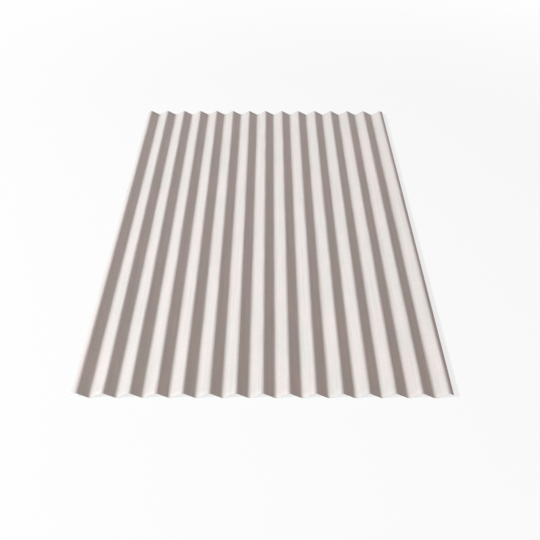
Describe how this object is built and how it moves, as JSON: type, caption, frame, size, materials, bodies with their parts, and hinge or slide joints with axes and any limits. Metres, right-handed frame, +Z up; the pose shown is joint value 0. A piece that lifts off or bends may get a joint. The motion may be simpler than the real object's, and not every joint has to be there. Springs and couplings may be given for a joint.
{
  "type": "corrugated metal sheet",
  "caption": "Flat-lying corrugated steel roofing sheet with round-bent waves along its length, plain square-cut ends and turned-down side edges, off-white paint.",
  "frame": {"origin": "under the middle of the sheet, on the level plane its valleys rest on", "axes": "+Y along the waves, +X across them, +Z up out of the crests"},
  "size_m": [1.094, 1.83, 0.018],
  "materials": {
    "painted_steel": "satin"
  },
  "bodies": {
    "root": {"corrugated_sheet": "painted_steel"}
  },
  "joints": []
}
